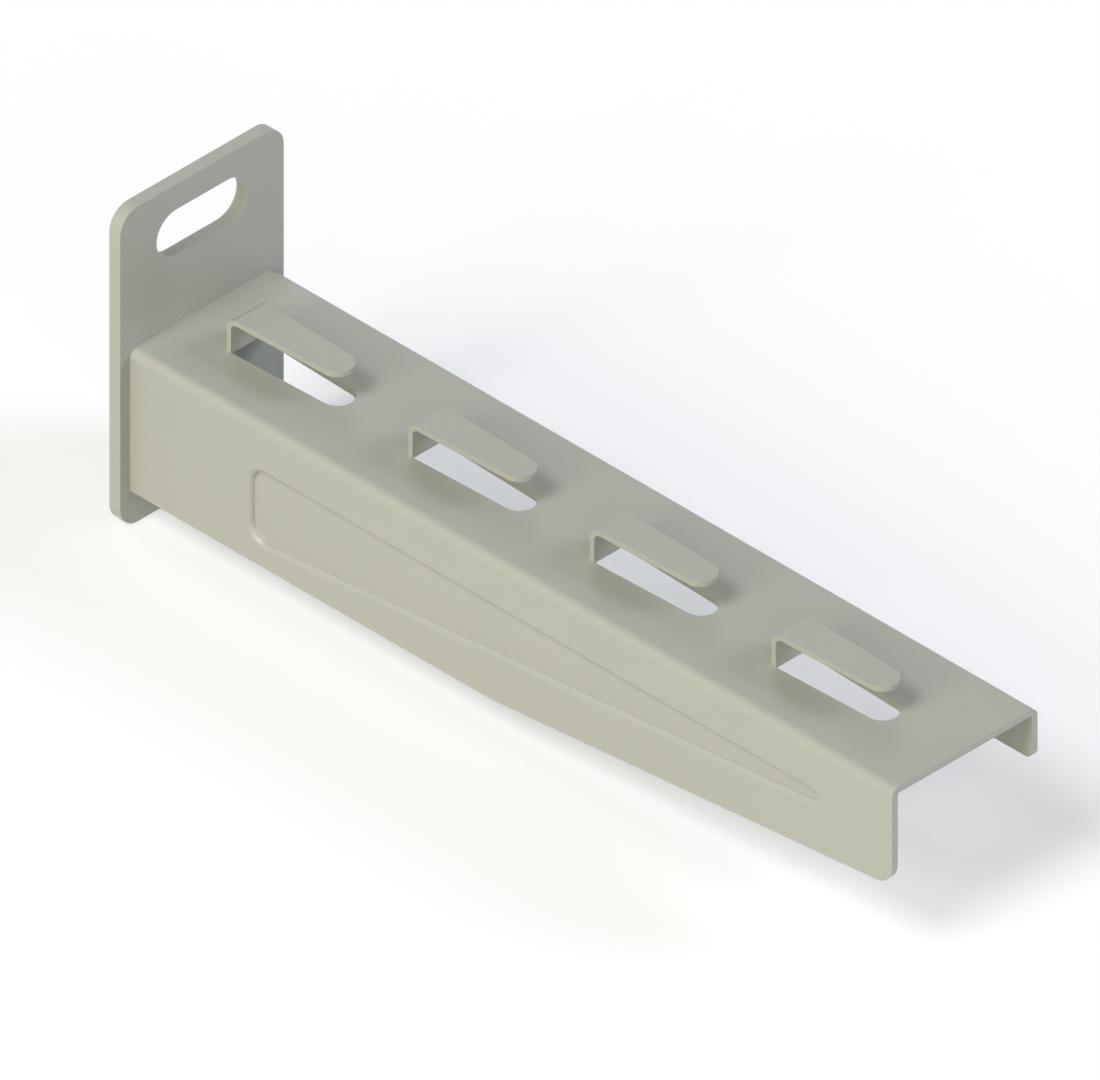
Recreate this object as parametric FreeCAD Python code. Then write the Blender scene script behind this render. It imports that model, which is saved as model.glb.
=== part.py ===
"""Cantilever strut arm: a folded sheet arm with hook tabs, welded to a wall plate.

Row frame, in millimetres: X = 0 is the plate's wall face and +X runs out along the arm, Y = 0 is the
middle of the plate with the deep web on the -Y side, and Z = 0 is the arm's top, on which the tray lies.
"""

import FreeCAD
import Part
import math
import os

# Wall plate. It stands out a little past the arm's sides and foot, and well above it, where the bolt goes
PLATE_THICK = 3.0
PLATE_SIDE_MARGIN = 2.5
PLATE_FOOT_MARGIN = 8.5
PLATE_ABOVE = 33.0
PLATE_CORNER = 5.0
BOLT_SLOT_WIDTH = 11.0
BOLT_SLOT_LENGTH = 25.0
BOLT_SLOT_BELOW_TOP = 11.5

# Arm: one sheet folded into a channel with a deep web, a flat top and a short lip
ARM_LENGTH = 210.0
ARM_WIDTH = 40.0
SHEET = 1.5
FOLD_INNER = 0.5
WEB_DEPTH = 33.5
WEB_TIP_DEPTH = 23.0
TAPER_START = 100.0
WEB_TIP_CORNER = 5.0
LIP_DEPTH = 12.0
LIP_TIP_CORNER = 2.0

# Hook tabs, lanced out of the arm's top and bent twice. The pressing stretches them thinner than the sheet
TAB_PITCH = 50.0
TAB_FIRST = 14.6
TAB_AXIS = -2.2
TAB_THINNING = 0.3
TAB_ROOT_WIDTH = 9.0
TAB_TAPER_DEG = 2.0
TAB_REACH = 28.5
TAB_HEIGHT = 8.0
TAB_HEAD_INNER = 1.5
TAB_FOOT_INNER = 0.5

# Stiffening panel, pressed inwards in the web. Its lower edge runs parallel to the web's tapered edge
PANEL_START = 32.0
PANEL_TIP_MARGIN = 20.0
PANEL_TOP_MARGIN = 10.1
PANEL_FOOT_MARGIN = 3.6
PANEL_CORNER = 5.0
PANEL_DEPTH = 1.3
PANEL_DRAFT_DEG = 20.0
PANEL_RIM_RADIUS = 1.4
PANEL_FLOOR_RADIUS = 0.25
PANEL_CREASE_RADIUS = 0.1

# Weld bead, inside the channel where the arm meets the plate
WELD_LEG = 2.5
WELD_CROWN = 0.3
WELD_END_MARGIN = 3.0

# A cutting tool runs this far past what it cuts
PAST = 1.0
# Two edge radii take at most this share of the wall between them
WALL_SHARE = 0.95
# Points this near are one point
TOUCH = 1e-4

ARM_START = PLATE_THICK
ARM_TIP = ARM_START + ARM_LENGTH
WEB_Y = -ARM_WIDTH / 2
LIP_Y = ARM_WIDTH / 2
FOLD_OUTER = FOLD_INNER + SHEET
TAB_THICK = SHEET - TAB_THINNING
TAPER_SLOPE = (WEB_DEPTH - WEB_TIP_DEPTH) / (ARM_LENGTH - TAPER_START)
TAPER_COS = 1 / math.hypot(1, TAPER_SLOPE)
PANEL_DRAFT = math.radians(PANEL_DRAFT_DEG)


def point(x, y, z):
    return FreeCAD.Vector(x, y, z)


def arc(centre, radius, start_deg, end_deg, place):
    """An arc through its middle; place turns two plane coordinates into a point."""
    def at(deg):
        a = math.radians(deg)
        return place(centre[0] + radius * math.cos(a), centre[1] + radius * math.sin(a))
    return Part.Arc(at(start_deg), at((start_deg + end_deg) / 2), at(end_deg)).toShape()


def closed_face(steps):
    """A face from points and arcs in order; each gap between two of them is a straight edge."""
    def ends(step):
        if isinstance(step, Part.Edge):
            return step.Vertexes[0].Point, step.Vertexes[-1].Point
        return step, step

    edges = []
    for step, following in zip(steps, steps[1:] + steps[:1]):
        if isinstance(step, Part.Edge):
            edges.append(step)
        here, there = ends(step)[1], ends(following)[0]
        if here.distanceToPoint(there) > TOUCH:
            edges.append(Part.makeLine(here, there))
    return Part.Face(Part.Wire(edges))


def in_xz(y):
    return lambda a, b: point(a, y, b)


def in_yz(x):
    return lambda a, b: point(x, a, b)


def in_xy(z):
    return lambda a, b: point(a, b, z)


def rounded(shape, radius, wanted):
    """The shape with the edges that the test picks rounded."""
    return shape.makeFillet(radius, [edge for edge in shape.Edges if wanted(edge)])


def edge_box_is(edge, x=None, y=None, z=None):
    """Whether an edge lies wholly at the coordinates that are given."""
    box = edge.BoundBox
    spans = ((x, box.XMin, box.XMax), (y, box.YMin, box.YMax), (z, box.ZMin, box.ZMax))
    return all(abs(low - want) < TOUCH and abs(high - want) < TOUCH
               for want, low, high in spans if want is not None)


def head_plate():
    width = ARM_WIDTH + 2 * PLATE_SIDE_MARGIN
    below = WEB_DEPTH + PLATE_FOOT_MARGIN
    plate = Part.makeBox(PLATE_THICK, width, PLATE_ABOVE + below, point(0, -width / 2, -below))
    plate = rounded(plate, PLATE_CORNER, lambda edge: edge.BoundBox.XLength > PLATE_THICK / 2)
    return plate.cut(bolt_slot())


def bolt_slot():
    """A level slot, so that the arm can be shifted sideways before the bolt is tightened."""
    radius = BOLT_SLOT_WIDTH / 2
    reach = BOLT_SLOT_LENGTH / 2 - radius
    height = PLATE_ABOVE - BOLT_SLOT_BELOW_TOP
    place = in_yz(-PAST)
    right = arc((reach, height), radius, -90, 90, place)
    left = arc((-reach, height), radius, 90, 270, place)
    return closed_face([right, left]).extrude(point(PLATE_THICK + 2 * PAST, 0, 0))


def channel():
    """The folded section, extruded from the plate to the tip, before any cut."""
    place = in_yz(ARM_START)
    web, lip = WEB_Y, LIP_Y
    section = closed_face([
        place(web, -WEB_DEPTH),
        arc((web + FOLD_OUTER, -FOLD_OUTER), FOLD_OUTER, 180, 90, place),
        arc((lip - FOLD_OUTER, -FOLD_OUTER), FOLD_OUTER, 90, 0, place),
        place(lip, -LIP_DEPTH),
        place(lip - SHEET, -LIP_DEPTH),
        arc((lip - FOLD_OUTER, -FOLD_OUTER), FOLD_INNER, 0, 90, place),
        arc((web + FOLD_OUTER, -FOLD_OUTER), FOLD_INNER, 90, 180, place),
        place(web + SHEET, -WEB_DEPTH),
    ])
    return section.extrude(point(ARM_LENGTH, 0, 0))


def trim_web(arm):
    """Cuts the web's lower edge up towards the tip, and rounds the two lower corners at the tip."""
    taper_x = ARM_START + TAPER_START
    place = in_xz(WEB_Y - PAST)
    wedge = closed_face([
        place(taper_x, -WEB_DEPTH),
        place(ARM_TIP + PAST, -WEB_TIP_DEPTH + PAST * TAPER_SLOPE),
        place(ARM_TIP + PAST, -WEB_DEPTH - PAST),
        place(taper_x, -WEB_DEPTH - PAST),
    ])
    arm = arm.cut(wedge.extrude(point(0, SHEET + 2 * PAST, 0)))
    arm = rounded(arm, WEB_TIP_CORNER, lambda edge: edge_box_is(edge, x=ARM_TIP, z=-WEB_TIP_DEPTH))
    return rounded(arm, LIP_TIP_CORNER, lambda edge: edge_box_is(edge, x=ARM_TIP, z=-LIP_DEPTH))


def radius_reach():
    """How far an edge's radius reaches along the face and the wall beside it, for each millimetre of it."""
    return math.tan((math.pi / 2 - PANEL_DRAFT) / 2)


def on_panel_wall(first, second):
    """The radii at the two edges of the panel's wall, made smaller together where it is too low for both."""
    room = WALL_SHARE * PANEL_DEPTH / math.cos(PANEL_DRAFT) / radius_reach()
    share = min(1, room / (first + second))
    return first * share, second * share


def panel_lower_edge(x):
    """Height of the panel's lower edge."""
    return -WEB_DEPTH + PANEL_FOOT_MARGIN + TAPER_SLOPE * (x - ARM_START - PANEL_START)


def panel_ends(wall_width):
    """The round ends of the panel's outline, each as a centre and a radius: top corner, tip and foot corner.

    The tip stops short of its margin where the panel would be too narrow there for its two walls.
    """
    top = -PANEL_TOP_MARGIN
    start, end = ARM_START + PANEL_START, ARM_TIP - PANEL_TIP_MARGIN
    corner = min(PANEL_CORNER, (top - panel_lower_edge(start)) / 2 - PANEL_FLOOR_RADIUS)
    tip = (top - panel_lower_edge(end)) * TAPER_COS / (1 + TAPER_COS * (1 - TAPER_SLOPE))
    tip_x = end - tip
    narrowest = wall_width + PANEL_FLOOR_RADIUS
    if tip < narrowest:
        tip = narrowest
        tip_x = start + (top - tip - tip / TAPER_COS - panel_lower_edge(start)) / TAPER_SLOPE
    foot_x = start + corner
    foot_z = panel_lower_edge(foot_x) + corner / TAPER_COS
    return ((foot_x, top - corner), corner), ((tip_x, top - tip), tip), ((foot_x, foot_z), corner)


def panel_block(ends, inset, y_from, y_to):
    """A solid between two depths whose wall has the panel's draft; inset is the outline's at y_from."""
    taper_deg = math.degrees(math.atan(TAPER_SLOPE))
    turns = ((180, 90), (90, taper_deg - 90), (taper_deg - 90, -180))

    def outline(inwards, y):
        place = in_xz(y)
        return closed_face([arc(centre, radius - inwards, turn[0], turn[1], place)
                            for (centre, radius), turn in zip(ends, turns)]).OuterWire

    narrowing = (y_to - y_from) * math.tan(PANEL_DRAFT)
    return Part.makeLoft([outline(inset, y_from), outline(inset + narrowing, y_to)], True, True)


def press_panel(arm):
    """Presses the panel into the web: a recess outside, and the raised back of the same sheet inside."""
    rim, floor = on_panel_wall(PANEL_RIM_RADIUS, PANEL_FLOOR_RADIUS)
    crest, crease = on_panel_wall(PANEL_FLOOR_RADIUS + SHEET, PANEL_CREASE_RADIUS)
    draft_width = math.tan(PANEL_DRAFT)
    rim_inset = rim * radius_reach()
    back_inset = rim_inset + SHEET * (draft_width - 1 / math.cos(PANEL_DRAFT))
    ends = panel_ends(rim_inset + PANEL_DEPTH * draft_width + floor * radius_reach())
    floor_y = WEB_Y + PANEL_DEPTH
    back_y = WEB_Y + SHEET
    crest_y = back_y + PANEL_DEPTH

    def round_off(shape, radius, y):
        """Rounds the panel's own edges at one depth, and none of the web's outer edges."""
        def is_panel_edge(edge):
            box = edge.BoundBox
            along = ARM_START + TOUCH < box.XMin and box.XMax < ARM_TIP - TOUCH
            up = TOUCH - WEB_DEPTH < box.ZMin and box.ZMax < -FOLD_OUTER - TOUCH
            return edge_box_is(edge, y=y) and along and up
        return rounded(shape, radius, is_panel_edge)

    arm = arm.fuse(panel_block(ends, back_inset, back_y, crest_y)).removeSplitter()
    arm = round_off(round_off(arm, crest, crest_y), crease, back_y)
    arm = arm.cut(panel_block(ends, rim_inset - PAST * draft_width, WEB_Y - PAST, floor_y))
    return round_off(round_off(arm, rim, WEB_Y), floor, floor_y)


def tab_starts():
    """Where each tab's leg has its inner face. A longer arm has more tabs, with the same room at both ends."""
    room = ARM_LENGTH - TAB_REACH - 2 * TAB_FIRST
    return [ARM_START + TAB_FIRST + TAB_PITCH * number for number in range(int(room // TAB_PITCH) + 1)]


def tab_outline(leg_x):
    """The tab seen from above, and the slot that it leaves: two tapered sides and a round end."""
    taper = math.radians(TAB_TAPER_DEG)
    root_x = leg_x - TAB_FOOT_INNER - SHEET
    wide_x = leg_x - TAB_THICK
    end_x = leg_x + TAB_REACH

    def half_width(x):
        return TAB_ROOT_WIDTH / 2 - math.tan(taper) * (x - wide_x)

    radius = half_width(end_x) * math.cos(taper) / (1 - math.sin(taper))
    turn = 90 - TAB_TAPER_DEG
    place = in_xy(-SHEET - PAST)
    face = closed_face([
        place(root_x, TAB_AXIS - half_width(root_x)),
        arc((end_x - radius, TAB_AXIS), radius, -turn, turn, place),
        place(root_x, TAB_AXIS + half_width(root_x)),
    ])
    return face.extrude(point(0, 0, TAB_HEIGHT + SHEET + 2 * PAST))


def tab_strip(leg_x):
    """The tab's side profile across its full width: up from the sheet, over, and out along the arm."""
    foot_outer = TAB_FOOT_INNER + SHEET
    head_outer = TAB_HEAD_INNER + TAB_THICK
    root_x = leg_x - foot_outer
    end_x = leg_x + TAB_REACH + PAST
    head = (leg_x + TAB_HEAD_INNER, TAB_HEIGHT - head_outer)
    place = in_xz(TAB_AXIS - TAB_ROOT_WIDTH)
    profile = closed_face([
        arc((root_x, foot_outer - SHEET), foot_outer, -90, 0, place),
        arc(head, TAB_HEAD_INNER, 180, 90, place),
        place(end_x, TAB_HEIGHT - TAB_THICK),
        place(end_x, TAB_HEIGHT),
        arc(head, head_outer, 90, 180, place),
        arc((leg_x - TAB_THICK - TAB_FOOT_INNER, TAB_FOOT_INNER), TAB_FOOT_INNER, 0, -90, place),
        place(root_x, 0),
    ])
    return profile.extrude(point(0, 2 * TAB_ROOT_WIDTH, 0))


def lance_tabs(arm):
    for leg_x in tab_starts():
        outline = tab_outline(leg_x)
        slot = outline.common(Part.makeBox(ARM_LENGTH, ARM_WIDTH, SHEET + 2 * PAST,
                                           point(ARM_START, WEB_Y, -SHEET - PAST)))
        arm = arm.cut(slot).fuse(tab_strip(leg_x).common(outline))
    return arm.removeSplitter()


def arm_channel():
    return lance_tabs(press_panel(trim_web(channel())))


def bead(start, along, across, length):
    """A straight fillet bead: legs on the plate and on the sheet, with a slightly crowned face."""
    out = point(1, 0, 0)
    on_sheet, on_plate = start + out * WELD_LEG, start + across * WELD_LEG
    crown = (on_sheet + on_plate) * 0.5 + (out + across) * (WELD_CROWN / math.sqrt(2))
    face = Part.Arc(on_sheet, crown, on_plate).toShape()
    section = Part.Face(Part.Wire([Part.makeLine(start, on_sheet), face, Part.makeLine(on_plate, start)]))
    return section.extrude(along * length)


def inner_weld(arm):
    """One bead round the inside of the channel: down the web, across under the top and down the lip."""
    web, lip = WEB_Y + SHEET, LIP_Y - SHEET
    down = point(0, 0, -1)
    runs = [
        bead(point(ARM_START, web, -SHEET), down, point(0, 1, 0), WEB_DEPTH - SHEET - WELD_END_MARGIN),
        bead(point(ARM_START, web, -SHEET), point(0, 1, 0), down, lip - web),
        bead(point(ARM_START, lip, -SHEET), down, point(0, -1, 0), LIP_DEPTH - SHEET - WELD_END_MARGIN),
    ]
    return runs[0].fuse(runs[1:]).removeSplitter().cut(arm)


def main():
    os.makedirs("parts", exist_ok=True)
    arm = arm_channel()
    nodes = {"head_plate": head_plate(), "arm_channel": arm, "inner_weld": inner_weld(arm)}
    for name, shape in nodes.items():
        box = shape.BoundBox
        print(f"{name}: {len(shape.Solids)} solid, valid {shape.isValid()}, {shape.Volume:.1f} mm3, "
              f"{box.XLength:.2f} x {box.YLength:.2f} x {box.ZLength:.2f} mm")
        shape.exportStep(f"parts/{name}.step")


main()
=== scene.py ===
# %% [markdown]
# # A cantilever strut arm, dressed for its picture
#
# A short steel arm that carries a cable tray on a wall. Its plate and its folded sheet come from the CAD
# model as they are, with every bend, slot, hook and pressed panel. What is left for Blender is the finish:
# a satin powder coat with a fine grain, a rippled weld bead where the plain one is, and the pale studio
# around it.

# %% Load the frame
import bpy
import math
import numpy as np
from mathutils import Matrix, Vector


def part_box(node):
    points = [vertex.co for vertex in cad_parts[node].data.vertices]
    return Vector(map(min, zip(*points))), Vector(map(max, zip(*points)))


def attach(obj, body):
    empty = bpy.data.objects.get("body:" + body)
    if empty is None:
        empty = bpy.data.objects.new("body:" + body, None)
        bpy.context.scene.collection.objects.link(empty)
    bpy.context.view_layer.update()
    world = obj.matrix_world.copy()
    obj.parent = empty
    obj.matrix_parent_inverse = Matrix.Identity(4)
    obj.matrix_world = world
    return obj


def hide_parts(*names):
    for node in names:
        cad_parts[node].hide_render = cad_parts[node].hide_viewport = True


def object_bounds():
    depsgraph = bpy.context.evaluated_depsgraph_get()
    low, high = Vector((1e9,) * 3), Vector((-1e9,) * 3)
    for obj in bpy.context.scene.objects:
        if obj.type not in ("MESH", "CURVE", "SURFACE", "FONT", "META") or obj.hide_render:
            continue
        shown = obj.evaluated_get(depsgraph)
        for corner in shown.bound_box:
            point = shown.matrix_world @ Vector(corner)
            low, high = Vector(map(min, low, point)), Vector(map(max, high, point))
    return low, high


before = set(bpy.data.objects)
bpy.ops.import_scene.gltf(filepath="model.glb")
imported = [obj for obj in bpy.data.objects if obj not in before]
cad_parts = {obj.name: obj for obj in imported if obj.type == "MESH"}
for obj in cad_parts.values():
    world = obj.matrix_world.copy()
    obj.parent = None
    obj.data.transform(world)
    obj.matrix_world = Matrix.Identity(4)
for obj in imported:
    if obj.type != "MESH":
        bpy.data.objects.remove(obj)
cad_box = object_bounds()
MM = 0.001
print("nodes:", sorted(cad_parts))

# %% [markdown]
# ## The camera
#
# Catalogue drawings of such parts use a parallel view, in which equal lengths stay equal wherever they are.
# A perspective camera comes close to that from very far off, and an orthographic one gives it exactly. It
# looks down the diagonal of a cube, so the three main directions of the arm are foreshortened alike: the
# isometric view.

# %% Camera
VIEW_WIDTH = 0.2141
VIEW_CENTRE = Vector((0.10623, -0.00744, 0.0))
VIEW_FROM = Vector((1, -1, 1)).normalized()
CAMERA_DISTANCE = 0.6


def add_camera():
    """An orthographic camera that looks at the centre of the view, and frames its width."""
    camera = bpy.data.objects.new("camera", bpy.data.cameras.new("camera"))
    bpy.context.scene.collection.objects.link(camera)
    camera.data.type = "ORTHO"
    camera.data.ortho_scale = VIEW_WIDTH
    camera.location = VIEW_CENTRE + VIEW_FROM * CAMERA_DISTANCE
    camera.rotation_euler = (-VIEW_FROM).to_track_quat("-Z", "Y").to_euler()
    bpy.context.scene.camera = camera


add_camera()
print("camera looks along", tuple(round(v, 3) for v in -VIEW_FROM))

# %% [markdown]
# ## A surface from a grid of points
#
# The bead of weld on the real arm has a section that changes all along it. A curve with a bevel would keep
# one section, so the bead is a grid of points instead. One direction of the grid runs along the piece and
# the other round its section, and each face joins four neighbours. Where the piece ends in a point, a fan
# of triangles closes it.

# %% A closed tube from rings of points
def tube_faces(rings, points):
    """Faces of a tube with this many rings of this many points each, and one pole beyond each end.

    The vertices are the first pole, the rings one after another, and the last pole.
    """
    ring, point = np.meshgrid(np.arange(rings - 1), np.arange(points), indexing="ij")
    beside = (point + 1) % points
    here = ring * points
    after = here + points
    corners = [here + point, here + beside, after + beside, after + point]
    quads = (np.stack([c.ravel() for c in corners], axis=1) + 1).tolist()
    point = np.arange(points)
    beside = (point + 1) % points
    first_pole = np.zeros(points, int)
    first_fan = np.stack([first_pole, beside + 1, point + 1], axis=1).tolist()
    last_ring = (rings - 1) * points + 1
    last_pole = np.full(points, rings * points + 1)
    last_fan = np.stack([last_pole, last_ring + point, last_ring + beside], axis=1).tolist()
    return quads + first_fan + last_fan


print("a tube of 3 rings of 4 points has", len(tube_faces(3, 4)), "faces")


# %% An object, and the volume inside it
def piece_from(name, vertices, faces, smooth_below_deg):
    """An object at the origin, smooth where its faces meet at less than an angle."""
    mesh = bpy.data.meshes.new(name)
    mesh.from_pydata(vertices.tolist(), [], faces)
    mesh.shade_smooth()
    mesh.set_sharp_from_angle(angle=math.radians(smooth_below_deg))
    piece = bpy.data.objects.new(name, mesh)
    bpy.context.scene.collection.objects.link(piece)
    return piece


def volume_of(piece):
    """Adds up the signed tetrahedra between the origin and each triangle.

    The sum is positive where the faces point outwards.
    """
    mesh = piece.data
    mesh.calc_loop_triangles()
    corners = np.empty(len(mesh.loop_triangles) * 3, np.int32)
    mesh.loop_triangles.foreach_get("vertices", corners)
    points = np.empty(len(mesh.vertices) * 3, np.float32)
    mesh.vertices.foreach_get("co", points)
    triangles = points.reshape(-1, 3).astype(float)[corners.reshape(-1, 3)]
    a, b, c = (triangles[:, k] for k in range(3))
    return float(np.einsum("ij,ij->i", a, np.cross(b, c)).sum() / 6)


print("CAD volume of the weld:", round(volume_of(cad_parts["inner_weld"]) / MM ** 3, 1), "mm3")

# %% [markdown]
# ## The weld bead
#
# Inside the channel one fillet bead holds the sheet to the plate: up the web, across under the top and down
# the lip. A welder lays it as a row of small overlapping pools, and each freezes as a bowed ripple. The
# solid has a plain bead for its weight and strength. Bump in a material would leave its outline smooth, so
# a surface takes its place: one parameter runs along the channel's inside, the other across the face of the
# bead, and the ripples are a height on it.

# %% The path round the channel's inside
WELD_FOLD_RADIUS = 0.5 * MM
WELD_TOE_RADIUS = 1.6 * MM
WELD_LIP_RUN = 7.5 * MM
STATION_STEP = 0.13 * MM
weld_low, weld_high = (np.array(corner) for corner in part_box("inner_weld"))
WELD_LEG = weld_high[0] - weld_low[0]


def channel_stations():
    """Stations of the path in the plane of the plate, as three arrays of (y, z).

    A station at distance d from the sheet and with corner radius r lies at
    anchor + d * by_distance + r * by_radius. That is exact, because a straight run shifts with d and gets
    shorter with both d and r, and a corner is an arc of radius r whose centre is d + r away from both walls.
    """
    web, lip, foot, top = weld_low[1], weld_high[1], weld_low[2], weld_high[2]
    lip_end = top - WELD_LIP_RUN

    def run(length):
        return np.linspace(0, 1, round(length / STATION_STEP), endpoint=False)

    def rows(y, z):
        return np.stack(np.broadcast_arrays(y, z), axis=1)

    f = run(top - foot)
    up_web = rows(web, foot + f * (top - foot)), rows(1.0, -f), rows(0.0, -f)
    f = run(lip - web)
    across = rows(web + f * (lip - web), top), rows(1 - 2 * f, -1.0), rows(1 - 2 * f, 0.0)
    f = run(WELD_LIP_RUN)
    down_lip = rows(lip, top + f * (lip_end - top)), rows(-1.0, f - 1), rows(0.0, f - 1)
    quarter = run(WELD_TOE_RADIUS * math.pi / 2) * math.pi / 2
    same = np.ones_like(quarter)
    rising = rows(1 - np.cos(quarter), np.sin(quarter) - 1)
    first_turn = rows(web, top * same), rows(1.0, -same), rising
    falling = rows(np.sin(quarter) - 1, np.cos(quarter) - 1)
    second_turn = rows(lip, top * same), rows(-1.0, -same), falling
    legs = (up_web, first_turn, across, second_turn, down_lip)
    return [np.concatenate([leg[k] for leg in legs]) for k in range(3)]


anchor, by_distance, by_radius = channel_stations()
print("weld path:", len(anchor), "stations, leg", round(WELD_LEG / MM, 2), "mm")

# %% The rippled bead
WELD_CROWN = 0.20 * MM
WELD_SINK = 0.03 * MM
RIPPLE_PITCH = 1.2 * MM
RIPPLE_HEIGHT = 0.16 * MM
RIPPLE_BOW = 0.9 * MM
# Each wander of the ripples is a sine: how far it sways, its length and where it starts.
RIPPLE_WANDERS = ((0.22 * MM, 3.3 * MM, 0.0), (0.15 * MM, 1.9 * MM, 1.0))
WELD_TAPER = 2.0 * MM
FACE_POINTS = 13


def along_path():
    """Distance of each station from the first, along the middle of the bead."""
    middle = anchor + by_distance * WELD_LEG / 2 + by_radius * (WELD_FOLD_RADIUS + WELD_TOE_RADIUS) / 2
    steps = np.linalg.norm(np.diff(middle, axis=0), axis=1)
    return np.concatenate([[0.0], np.cumsum(steps)])


def rippled_bead():
    """The bead as rings round its section, one for each station.

    Across the face, v goes from 0 at the toe on the sheet to 1 at the toe on the plate, on a straight line
    between the two toes, and the crown lifts it by a half sine. A ripple is a shallow arch:
    1 - (2 p - 1)^2, where p is the part of a pitch that the station has gone, less a bow that is greatest at
    mid face. Two sines make the pitch wander, as a hand does. At both ends of the bead its legs shrink as a
    quarter ellipse does. The last point of each ring is the hidden corner between sheet and plate.
    """
    s = along_path()[:, None]
    v = np.linspace(0, 1, FACE_POINTS)[None, :]
    wander = s
    for sway, length, start in RIPPLE_WANDERS:
        wander = wander + sway * np.sin(s / length + start)
    phase = (wander - RIPPLE_BOW * 4 * v * (1 - v)) / RIPPLE_PITCH
    arch = 1 - (2 * (phase % 1.0) - 1) ** 2
    to_end = np.minimum(s - s[0] + STATION_STEP, s[-1] + STATION_STEP - s)
    end = np.sqrt(1 - (1 - np.minimum(to_end / WELD_TAPER, 1)) ** 2)
    lift = np.sin(math.pi * v) * (WELD_CROWN + RIPPLE_HEIGHT * (arch - 0.5)) * end / math.sqrt(2)
    distance = WELD_LEG * end * v + lift
    out = WELD_LEG * end * (1 - v) + lift
    distance = np.concatenate([distance, np.zeros_like(s)], axis=1) - WELD_SINK
    out = np.concatenate([out, np.zeros_like(s)], axis=1) - WELD_SINK
    radius = WELD_FOLD_RADIUS + (WELD_TOE_RADIUS - WELD_FOLD_RADIUS) * np.clip(distance / WELD_LEG, 0, 1)
    shift = by_distance[:, None] * distance[..., None]
    turn = by_radius[:, None] * radius[..., None]
    yz = anchor[:, None] + shift + turn
    return np.concatenate([weld_low[0] + out[..., None], yz], axis=2)


rings = rippled_bead()
print("weld bead:", rings.shape[0], "rings of", rings.shape[1], "points")

# %% The bead as a piece
WELD_SMOOTH_BELOW_DEG = 50

poles = rings[[0, -1], -1]
bead_vertices = np.concatenate([poles[:1], rings.reshape(-1, 3), poles[1:]])
bead_faces = tube_faces(rings.shape[0], rings.shape[1])
weld = piece_from("weld_ripples", bead_vertices, bead_faces, WELD_SMOOTH_BELOW_DEG)
print("weld bead:", len(bead_faces), "faces,", round(volume_of(weld) / MM ** 3, 1), "mm3")

# %% [markdown]
# ## Shader maths as expressions
#
# A material is a network of small nodes, which is slow to draw by hand and hard to read back. A class that
# wraps a socket and overloads the operators lets the maths be written as it is thought, such as
# `grain * GRAIN_HEIGHT + peel * PEEL_HEIGHT`, and adds one Math node for each operator.


# %% Sockets that can be reckoned with
class Wire:
    """A node's output. Operators add Math nodes; node() adds any other node to the same material."""

    def __init__(self, tree, socket=None):
        self.tree = tree
        self.socket = socket

    def node(self, kind, settings=None, inputs=None, output=0):
        """Adds a node: its settings first, then a value or a wire for each named or numbered input."""
        node = self.tree.nodes.new(kind)
        for name, value in (settings or {}).items():
            setattr(node, name, value)
        for name, value in (inputs or {}).items():
            if isinstance(value, Wire):
                self.tree.links.new(value.socket, node.inputs[name])
            else:
                node.inputs[name].default_value = value
        return Wire(self.tree, node.outputs[output] if len(node.outputs) else None)

    def output_of(self, wire, name):
        """Another output of the node that a wire comes from."""
        return Wire(self.tree, wire.socket.node.outputs[name])

    def maths(self, operation, first, second):
        return self.node("ShaderNodeMath", {"operation": operation}, {0: first, 1: second})

    def __add__(self, other):
        return self.maths("ADD", self, other)

    def __radd__(self, other):
        return self.maths("ADD", other, self)

    def __mul__(self, other):
        return self.maths("MULTIPLY", self, other)

    def __rmul__(self, other):
        return self.maths("MULTIPLY", other, self)


def new_material(name):
    """An empty material, and a wire that adds nodes to it."""
    material = bpy.data.materials.new(name)
    material.use_nodes = True
    material.node_tree.nodes.clear()
    return material, Wire(material.node_tree)


def finish_material(wires, surface):
    """Makes a shader the material's surface."""
    wires.node("ShaderNodeOutputMaterial", None, {"Surface": surface})


print("a Wire takes + and *")

# %% [markdown]
# ## The powder coat
#
# The arm is sprayed with dry powder and baked. The coat flows together into a satin skin of one colour that
# is never quite flat: it keeps a fine grain, a few tenths of a millimetre across, over a gentle swell like
# orange peel. Both are far too small to model, so they are a height that bends the shading normal. The
# colour itself drifts by about a hundredth from place to place. All of it reads Object coordinates, so the
# grain keeps its size on every piece.
#
# The coat also rounds each cut edge by about its own thickness. A bevel on the mesh folds over where a hook
# meets its slot, so the mesh keeps its sharp edge and the shader bends the normal beside it. Powder is a
# plastic and not a metal, so its shine is white: a thin smoother gloss over the satin layer makes the small
# light spots on tight bends.

# %% Even noise at a true size
def noise(wires, size, detail):
    """Even noise from 0 to 1 whose lumps are about this size."""
    where = wires.node("ShaderNodeTexCoord", output="Object")
    settings = {"noise_dimensions": "3D", "normalize": True}
    inputs = {"Vector": where, "Scale": 1 / size, "Detail": detail}
    return wires.node("ShaderNodeTexNoise", settings, inputs)


print("lumps of 1 mm are a noise of scale", round(1 / MM))

# %% Powder coat
COAT_COLOUR = (0.350, 0.354, 0.305)
COAT_ROUGHNESS = 0.45
ROUGHNESS_SPREAD = 0.06
GLOSS_WEIGHT = 0.35
GLOSS_ROUGHNESS = 0.25
GRAIN_SIZE = 0.38 * MM
GRAIN_HEIGHT = 0.004 * MM
PEEL_SIZE = 2.4 * MM
PEEL_HEIGHT = 0.006 * MM
SURFACE_DETAIL = 1.0
DRIFT_SIZE = 18 * MM
DRIFT_DETAIL = 2.0
DRIFT = 0.02
EDGE_RADIUS = 0.12 * MM
EDGE_SAMPLES = 6


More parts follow.
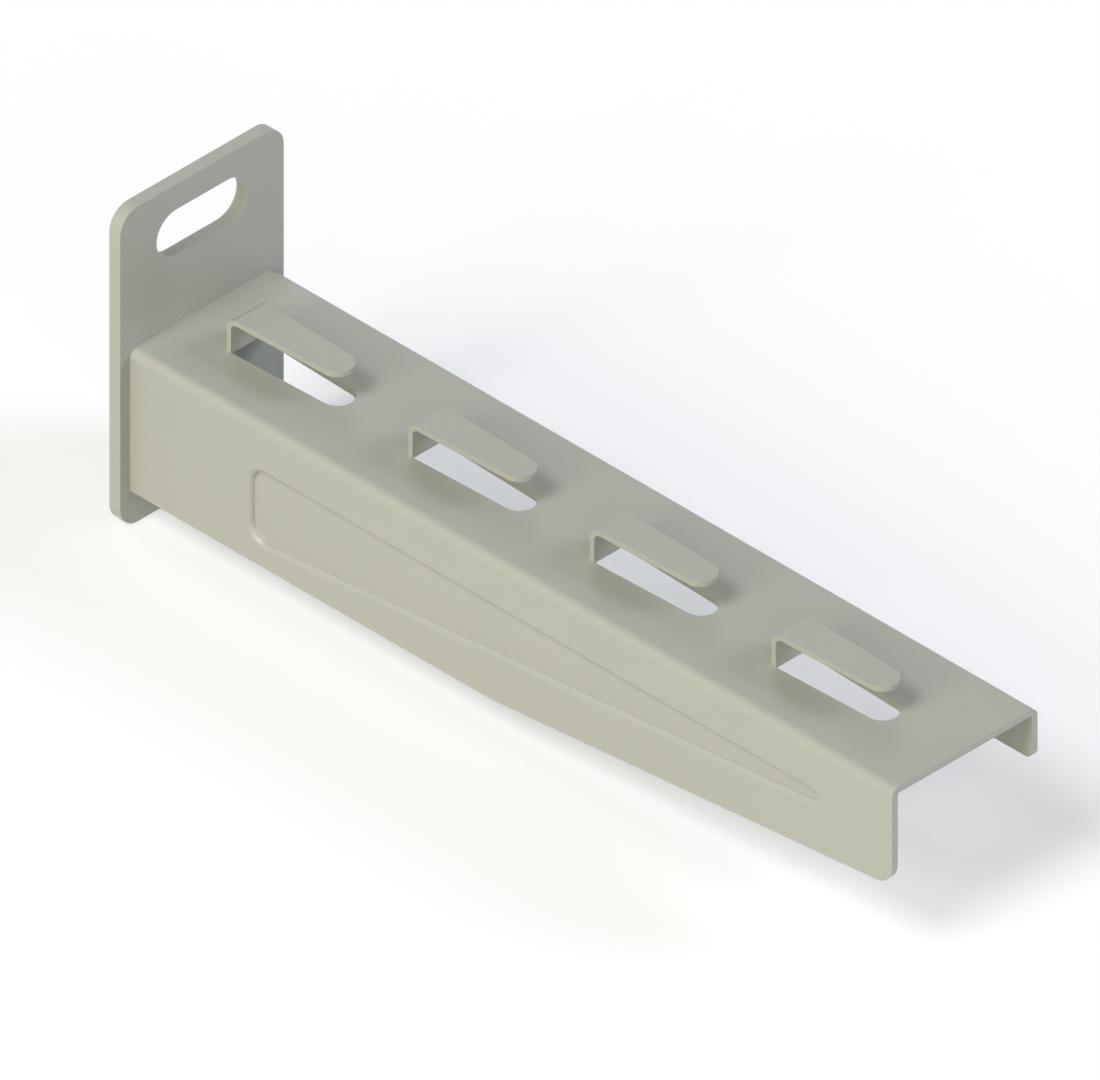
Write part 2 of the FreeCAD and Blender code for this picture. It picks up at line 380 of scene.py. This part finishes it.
def powder_coat(name, colour):
    """The coat. The Mix node keeps its two colours at inputs 6 and 7, and their mix at output 2."""
    material, wires = new_material(name)
    drift = noise(wires, DRIFT_SIZE, DRIFT_DETAIL)
    darker = tuple(v * (1 - DRIFT) for v in colour) + (1.0,)
    lighter = tuple(v * (1 + DRIFT) for v in colour) + (1.0,)
    base = wires.node("ShaderNodeMix", {"data_type": "RGBA"}, {0: drift, 6: darker, 7: lighter}, output=2)
    grain = noise(wires, GRAIN_SIZE, SURFACE_DETAIL)
    peel = noise(wires, PEEL_SIZE, SURFACE_DETAIL)
    height = grain * GRAIN_HEIGHT + peel * PEEL_HEIGHT
    edges = wires.node("ShaderNodeBevel", {"samples": EDGE_SAMPLES}, {"Radius": EDGE_RADIUS})
    normal = wires.node("ShaderNodeBump", None, {"Height": height, "Distance": 1.0, "Normal": edges})
    roughness = grain * ROUGHNESS_SPREAD + (COAT_ROUGHNESS - ROUGHNESS_SPREAD / 2)
    surface = wires.node("ShaderNodeBsdfPrincipled", None, {
        "Base Color": base,
        "Roughness": roughness,
        "Normal": normal,
        "Coat Weight": GLOSS_WEIGHT,
        "Coat Roughness": GLOSS_ROUGHNESS,
    })
    finish_material(wires, surface)
    return material


coat = powder_coat("powder_coat", COAT_COLOUR)
print("coat:", len(coat.node_tree.nodes), "nodes,", len(coat.node_tree.links), "links")


# %% The coat on the plate, the sheet and the weld
def dress(obj, material):
    """Gives a piece or a CAD node its one material."""
    obj.data.materials.clear()
    obj.data.materials.append(material)


for node_name in ("head_plate", "arm_channel"):
    dress(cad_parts[node_name], coat)
dress(weld, coat)
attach(weld, "root")
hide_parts("inner_weld")
print("coated: head_plate, arm_channel,", weld.name)

# %% [markdown]
# ## The floor
#
# The picture this arm is made for has it on white paper. The floor is a plain pale sheet for the light that
# bounces off it, and to the camera it is white paper: two fifths of what it sends there is its own white,
# and the rest is the light that reaches it, so the arm still throws its soft shadow. A bright lamp could
# make the floor white too, but it would wash out the arm. Light Path tells the rays that the camera sees,
# straight or in a gloss, from those that only carry light.

# %% Floor
FLOOR_HEIGHT = cad_box[0][2]
FLOOR_SIZE = 3.0
FLOOR_PAPER = (0.7, 0.7, 0.7, 1.0)
PAPER_WHITE = (1.0, 1.0, 1.0, 1.0)
SHADOW_SHARE = 0.6


def add_floor(height):
    """A square sheet at one height: the four corners are every pairing of two sides in x and in y."""
    side = np.array([-0.5, 0.5]) * FLOOR_SIZE
    x, y = np.meshgrid(side, side)
    corners = np.stack([x.ravel(), y.ravel(), np.full(4, height)], axis=1)
    mesh = bpy.data.meshes.new("floor")
    mesh.from_pydata(corners.tolist(), [], [(0, 1, 3, 2)])
    floor = bpy.data.objects.new("floor", mesh)
    bpy.context.scene.collection.objects.link(floor)
    return floor


def seen_directly(wires):
    """1 for rays from the camera, and for those that it sees in gloss or through glass."""
    path = wires.node("ShaderNodeLightPath")
    camera, glossy, through = (
        wires.output_of(path, f"Is {kind} Ray") for kind in ("Camera", "Glossy", "Transmission"))
    return wires.maths("MAXIMUM", wires.maths("MAXIMUM", camera, glossy), through)


def floor_material():
    """Pale paper for rays that carry light, and white glow mixed with lit white for those that are seen."""
    material, wires = new_material("floor_paper")
    paper = wires.node("ShaderNodeBsdfDiffuse", None, {"Color": FLOOR_PAPER})
    glow = wires.node("ShaderNodeEmission", None, {"Color": PAPER_WHITE, "Strength": 1.0})
    lit = wires.node("ShaderNodeBsdfDiffuse", None, {"Color": PAPER_WHITE})
    white = wires.node("ShaderNodeMixShader", None, {0: SHADOW_SHARE, 1: glow, 2: lit})
    surface = wires.node("ShaderNodeMixShader", None, {0: seen_directly(wires), 1: paper, 2: white})
    finish_material(wires, surface)
    return material


floor = add_floor(FLOOR_HEIGHT)
dress(floor, floor_material())
print("floor lies at", round(FLOOR_HEIGHT, 4))

# %% [markdown]
# ## The lights
#
# Six soft suns stand for the studio's panels. Three are in front of the deep web, at three heights, and the
# lowest is wide and warm. A cool one shines from past the tip, behind the arm, and a weak white one from
# before the tip. The last lies level on the wall side, so it lights the back of the plate and leaves the
# top and the floor alone. Panels near the arm would light one end of it more than the other. A sun lights
# all of it alike, as in the picture, and its angle is how wide its panel looks from the arm: the wider it
# is, the softer the shadow's edge.

# %% Lights
SKY_STRENGTH = 0.05
# Each sun has a name, the direction it shines from, a strength, a colour and its width in degrees.
STUDIO_SUNS = (
    ("high_front", (0.0, -0.60, 0.80), 1.84, (0.956, 0.966, 1.0), 24),
    ("front", (0.0, -0.90, 0.43), 0.93, (1.0, 0.956, 0.858), 24),
    ("low_front", (0.31, -0.90, 0.31), 1.28, (1.0, 0.926, 0.603), 60),
    ("past_tip", (0.65, 0.55, 0.52), 1.56, (0.727, 0.837, 1.0), 24),
    ("at_tip", (0.85, -0.45, 0.30), 0.45, (1.0, 1.0, 1.0), 30),
    ("wall_side", (-1.0, 0.0, 0.02), 0.60, (1.0, 1.0, 1.0), 24),
)


def add_sun(name, shines_from, strength, colour, width_deg):
    """A lamp so far off that all its light comes from one direction."""
    light = bpy.data.lights.new(name, "SUN")
    light.energy = strength
    light.color = colour
    light.angle = math.radians(width_deg)
    lamp = bpy.data.objects.new(name, light)
    lamp.rotation_euler = Vector(shines_from).to_track_quat("Z", "Y").to_euler()
    bpy.context.scene.collection.objects.link(lamp)


def studio_world():
    """A dim even sky for the light, and plain white where the camera sees past the floor."""
    world = bpy.data.worlds.new("studio")
    world.use_nodes = True
    world.node_tree.nodes.clear()
    wires = Wire(world.node_tree)
    strength = seen_directly(wires) * (1.0 - SKY_STRENGTH) + SKY_STRENGTH
    sky = wires.node("ShaderNodeBackground", None, {"Color": PAPER_WHITE, "Strength": strength})
    wires.node("ShaderNodeOutputWorld", None, {"Surface": sky})
    return world


for sun in STUDIO_SUNS:
    add_sun(*sun)
bpy.context.scene.world = studio_world()
print("suns:", [sun[0] for sun in STUDIO_SUNS])

# %% [markdown]
# ## The last steps
#
# Colours go to the picture as they are, with no film curve over them.

# %% Finish
bpy.context.scene.view_settings.view_transform = "Standard"
